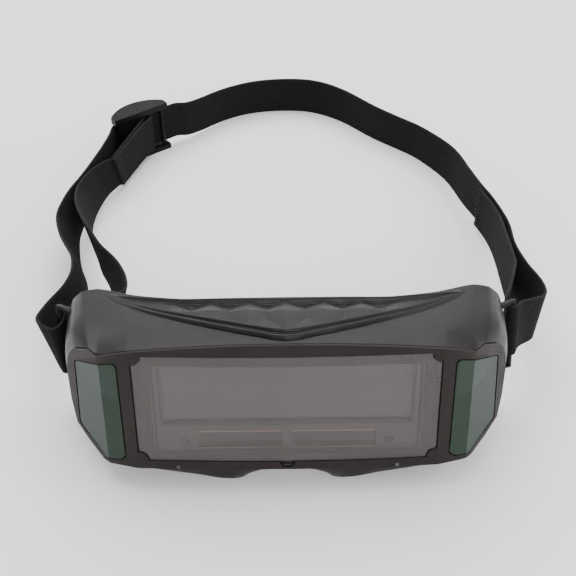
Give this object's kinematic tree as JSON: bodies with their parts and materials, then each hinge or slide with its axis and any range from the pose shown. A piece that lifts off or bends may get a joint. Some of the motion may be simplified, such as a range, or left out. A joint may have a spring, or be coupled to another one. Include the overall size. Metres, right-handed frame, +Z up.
{
  "type": "welding goggles",
  "caption": "Wide-view welding goggles with a self-darkening filter cartridge, side windows and an elastic head strap.",
  "frame": {"origin": "centre of the bounding box at its base, on the surface that the goggles and the strap stand on", "axes": "+Z up, the viewing window faces -Y and leans back 12 degrees, +Y towards the strap, +X to the right as seen from the front"},
  "size_m": [0.2568, 0.3382, 0.0753],
  "materials": {
    "frame_plastic": "satin, fine moulded grain",
    "bezel_plastic": "satin",
    "cover_lens_clear": "clear polycarbonate with light scratches",
    "inner_lens_clear": "clear polycarbonate",
    "side_window_green": "dark green polycarbonate",
    "gasket_foam": "closed-cell foam",
    "cartridge_plastic": "matt black plastic",
    "filter_glass": "coated filter glass",
    "shutter_glass": "liquid-crystal shutter",
    "board_green": "circuit board",
    "solar_dark": "thin-film solar cell",
    "sensor_window": "tinted sensor window",
    "battery_steel": "nickel-plated",
    "screw_steel": "zinc-plated",
    "strap_elastic": "ribbed black elastic",
    "slider_plastic": "polished black plastic",
    "thread_black": "sewing thread"
  },
  "bodies": {
    "goggles": {"main_frame": "frame_plastic", "front_bezel": "bezel_plastic", "bezel_screws": "screw_steel", "side_window_left": "side_window_green", "side_window_right": "side_window_green", "filter_gasket": "gasket_foam", "filter_case_front": "cartridge_plastic", "filter_case_rear": "cartridge_plastic", "infrared_filter": "filter_glass", "shutter_cell_front": "shutter_glass", "shutter_cell_rear": "shutter_glass", "circuit_board": "board_green", "solar_cell_left": "solar_dark", "solar_cell_right": "solar_dark", "light_sensor_left": "sensor_window", "light_sensor_right": "sensor_window", "battery_left": "battery_steel", "battery_right": "battery_steel", "strap_main_band": "strap_elastic", "strap_right_loop": "strap_elastic", "strap_outer_run": "strap_elastic", "strap_inner_run": "strap_elastic", "strap_stitching_right": "thread_black"},
    "outer_lens": {"cover_lens": "cover_lens_clear"},
    "inner_lens": {"inner_cover_lens": "inner_lens_clear", "lens_retainer": "cartridge_plastic"},
    "slider": {"strap_slider": "slider_plastic", "strap_slider_loop": "strap_elastic", "strap_stitching_left": "thread_black"}
  },
  "joints": [
    {"name": "cover_lens_pull", "type": "slide", "parent": "goggles", "child": "outer_lens", "axis": [0, -0.9781, 0.2079], "range_m": [0, 0.04]},
    {"name": "lens_retainer_pull", "type": "slide", "parent": "goggles", "child": "inner_lens", "axis": [0, 0.9781, -0.2079], "range_m": [0, 0.01]},
    {"name": "slider_travel", "type": "slide", "parent": "goggles", "child": "slider", "axis": [0.7986, 0.6018, 0], "range_m": [0, 0.01]}
  ]
}
